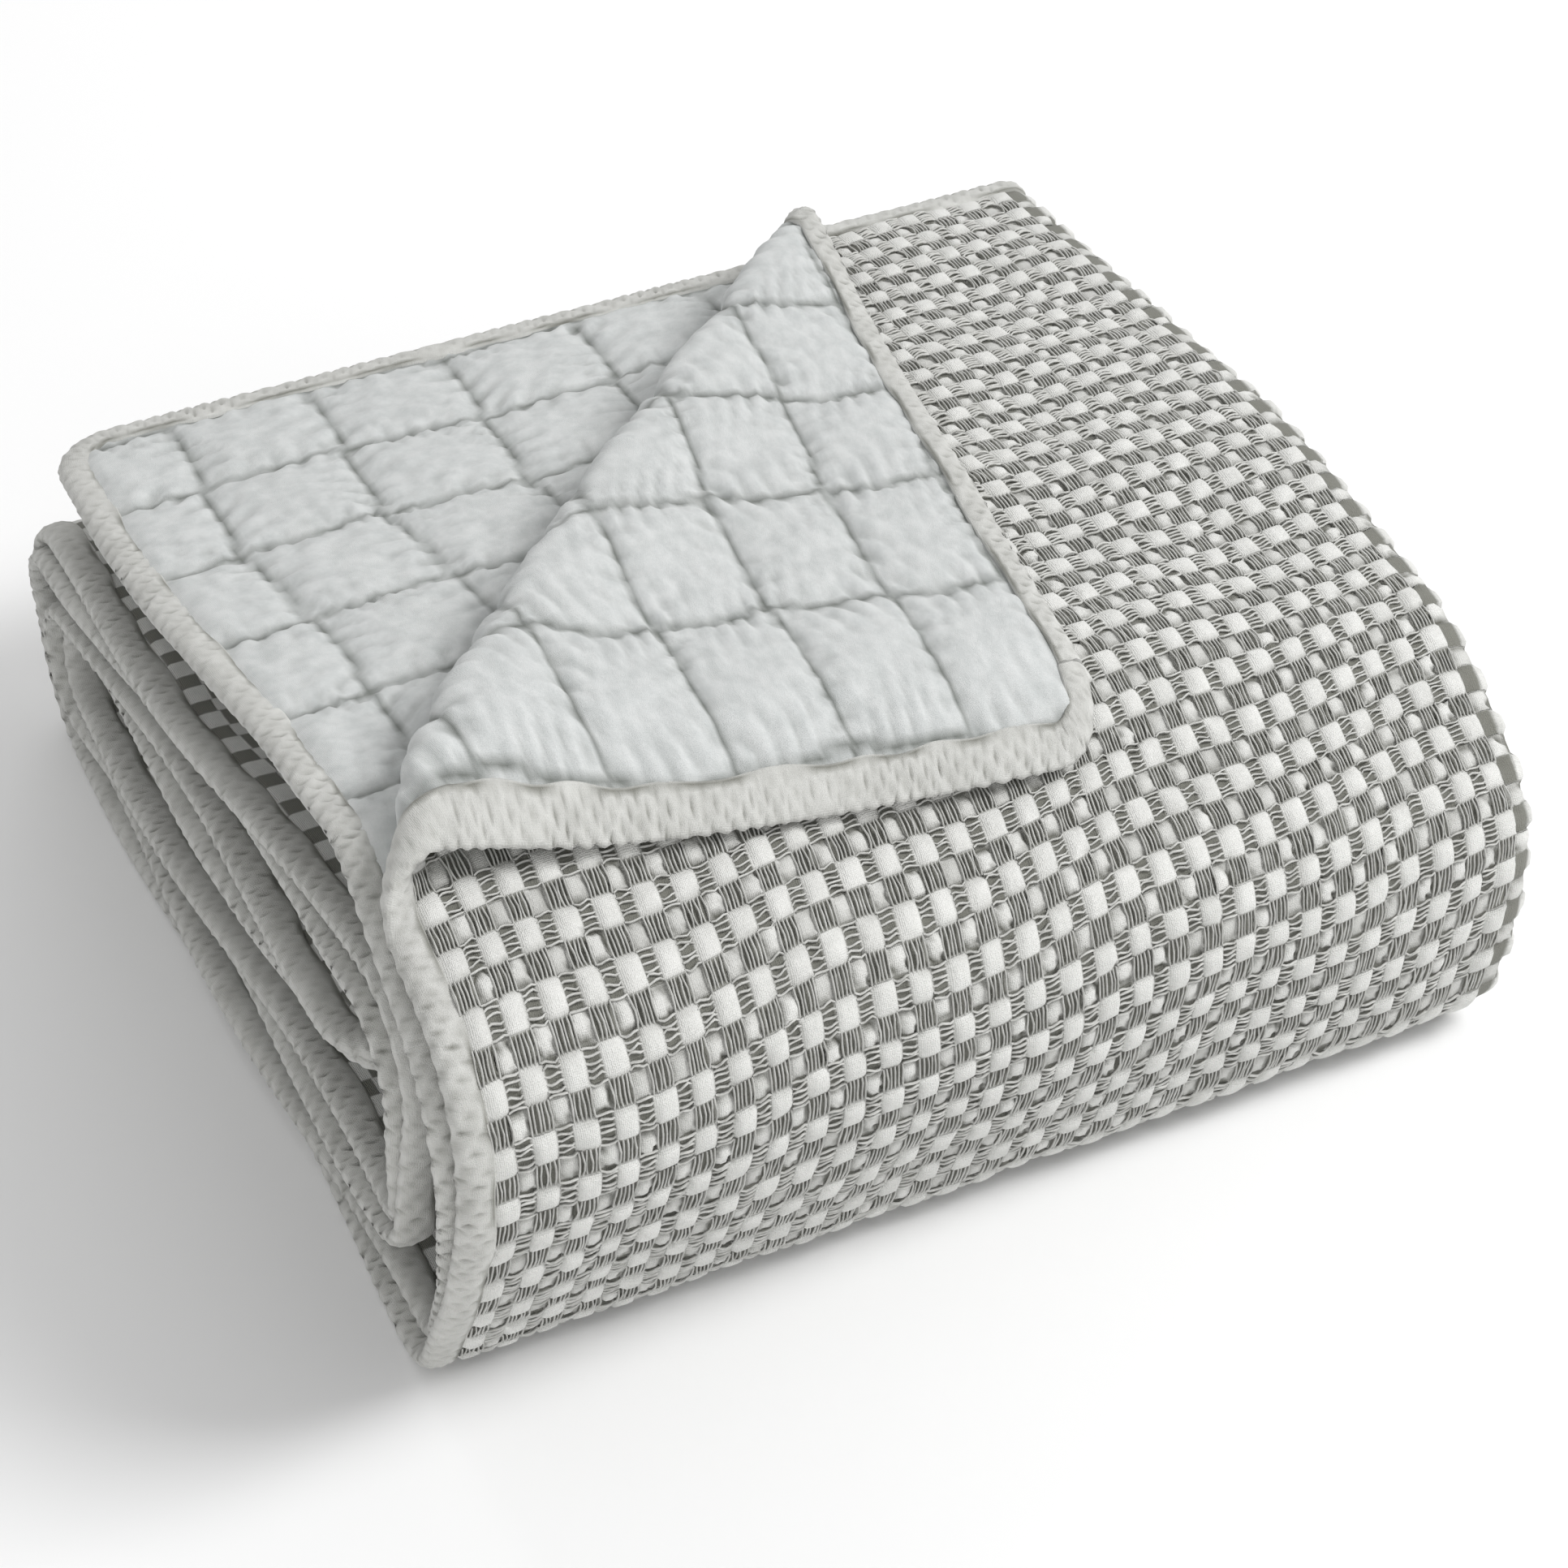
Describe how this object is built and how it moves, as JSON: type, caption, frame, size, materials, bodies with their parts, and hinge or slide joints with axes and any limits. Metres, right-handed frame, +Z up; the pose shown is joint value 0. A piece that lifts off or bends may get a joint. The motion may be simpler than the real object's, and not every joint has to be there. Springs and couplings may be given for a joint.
{
  "type": "quilted throw",
  "caption": "Light grey quilted throw, folded into a soft pile, open check cloth outside, bound edge, one corner turned back to show the plain quilted reverse.",
  "frame": {"origin": "centre of the bounding box seen from above, on the surface the pile rests on", "axes": "+Z up, +X along the front of the pile from its bound left end to its folded right end, +Y from the front to the back"},
  "size_m": [0.4692, 0.4876, 0.2285],
  "materials": {
    "check_cloth": "matte open check weave",
    "plain_cloth": "matte plain weave, quilted",
    "binding_cloth": "matte puckered strip"
  },
  "bodies": {
    "root": {"face_panel": "check_cloth", "backing_panel": "plain_cloth", "binding": "binding_cloth"}
  },
  "joints": []
}
